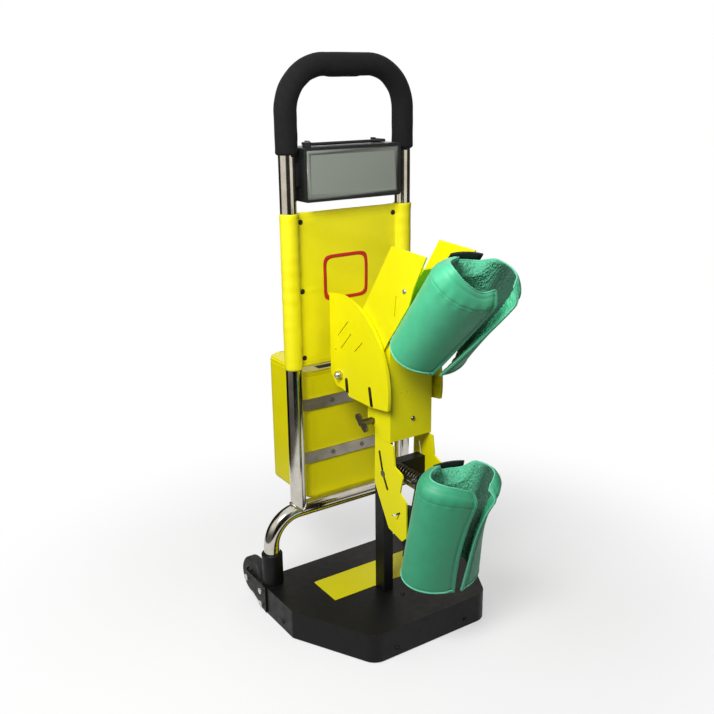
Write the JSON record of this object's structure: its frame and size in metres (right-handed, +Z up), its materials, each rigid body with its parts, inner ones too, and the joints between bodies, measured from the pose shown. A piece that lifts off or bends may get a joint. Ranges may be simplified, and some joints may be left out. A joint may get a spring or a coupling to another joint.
{
  "type": "escalator handrail cleaning machine",
  "caption": "Wheeled, weighted stand with a tube frame and bin whose sliding carriage holds split padded sleeves round an escalator's moving handrail to wipe it clean.",
  "frame": {"origin": "on the floor under the centre of the base tray", "axes": "+X right seen from the front, +Y towards the wheels at the back, +Z up"},
  "size_m": [0.455, 0.5976, 1.1],
  "materials": {
    "black_paint": "satin black powder coat",
    "ballast_steel": "raw",
    "rubber": "matt",
    "foam": "matt foam",
    "tyre": "matt",
    "label_film": "blank film",
    "stainless": "polished tube",
    "zinc_steel": "zinc plated",
    "spring_steel": "black oxide",
    "yellow_cloth": "coated cloth",
    "black_plastic": "moulded",
    "grey_panel": "blank panel",
    "yellow_plastic": "moulded",
    "yellow_paint": "powder coat",
    "green_cloth": "coated outside, terry inside"
  },
  "bodies": {
    "frame": {"base_tray": "black_paint", "ballast_plate": "ballast_steel", "base_feet": "rubber", "base_screws": "black_paint", "tray_standoff": "zinc_steel", "base_label": "label_film", "socket_left": "black_paint", "socket_right": "black_paint", "stirrup_tube": "stainless", "upright_hoop": "stainless", "foam_grip": "foam", "upper_cross_bar": "stainless", "lower_cross_bar": "stainless", "bar_rivets": "zinc_steel", "banner": "yellow_cloth", "banner_snaps": "black_plastic", "box_shell": "black_plastic", "box_bezel": "black_plastic", "box_panel": "grey_panel", "box_back": "black_plastic", "box_battery": "black_plastic", "box_brackets": "black_plastic", "bin_body": "yellow_plastic", "lid_pin": "zinc_steel", "wheel_bracket_left": "black_paint", "wheel_bracket_right": "black_paint", "bracket_bolts": "zinc_steel", "axle_bolts": "zinc_steel", "post_foot": "black_paint", "post": "black_paint", "post_cap": "black_plastic"},
    "wheel_left": {"wheel_hub_left": "black_plastic", "wheel_tyre_left": "tyre"},
    "wheel_right": {"wheel_hub_right": "black_plastic", "wheel_tyre_right": "tyre"},
    "knob": {"box_knob": "black_plastic"},
    "handle": {"box_handle": "black_plastic"},
    "lid": {"bin_lid": "yellow_plastic"},
    "carriage": {"carriage": "yellow_paint", "guide_block": "yellow_paint", "quadrant_left": "yellow_paint", "quadrant_right": "yellow_paint", "quadrant_spacers": "yellow_paint", "pivot_bolt": "zinc_steel", "spring_block": "black_paint", "block_bolts": "zinc_steel", "stop_rod": "zinc_steel", "push_spring": "spring_steel", "lower_pins": "yellow_paint"},
    "clamp": {"wing_screw": "zinc_steel"},
    "upper_arm": {"upper_arm_left": "yellow_paint", "upper_arm_right": "yellow_paint", "upper_mount": "yellow_paint", "arm_bolts": "zinc_steel", "upper_shell": "black_plastic", "upper_sleeve": "green_cloth"},
    "lower_pad": {"lower_bracket": "black_paint", "lower_rivets": "zinc_steel", "lower_shell": "black_plastic", "lower_sleeve": "green_cloth"}
  },
  "joints": [
    {"name": "wheel_left_spin", "type": "hinge", "parent": "frame", "child": "wheel_left", "pos_m": [-0.203, 0.195, 0.049], "axis": [1, 0, 0], "continuous": true},
    {"name": "wheel_right_spin", "type": "hinge", "parent": "frame", "child": "wheel_right", "pos_m": [0.203, 0.195, 0.049], "axis": [1, 0, 0], "continuous": true},
    {"name": "knob_turn", "type": "hinge", "parent": "frame", "child": "knob", "pos_m": [-0.097, 0.112, 0.934], "axis": [0, 0, 1], "range_deg": [-150, 150]},
    {"name": "handle_fold", "type": "hinge", "parent": "frame", "child": "handle", "pos_m": [0, 0.148, 0.938], "axis": [1, 0, 0], "range_deg": [-95, 0]},
    {"name": "lid_open", "type": "hinge", "parent": "frame", "child": "lid", "pos_m": [0, 0.30812, 0.486], "axis": [1, 0, 0], "range_deg": [-100, 0]},
    {"name": "carriage_slide", "type": "slide", "parent": "frame", "child": "carriage", "axis": [0, 0, 1], "range_m": [-0.06, 0.04]},
    {"name": "clamp_turn", "type": "hinge", "parent": "carriage", "child": "clamp", "pos_m": [-0.06, -0.022, 0.432], "axis": [1, 0, 0], "range_deg": [-180, 180]},
    {"name": "upper_arm_tilt", "type": "hinge", "parent": "carriage", "child": "upper_arm", "pos_m": [0, 0.065, 0.503], "axis": [1, 0, 0], "range_deg": [-12, 10]},
    {"name": "lower_pad_tilt", "type": "hinge", "parent": "carriage", "child": "lower_pad", "pos_m": [0, -0.098, 0.238], "axis": [1, 0, 0], "range_deg": [-8, 0], "stiffness_Nm_per_rad": 50, "springref_deg": 4.58, "deforming": ["push_spring"]}
  ]
}
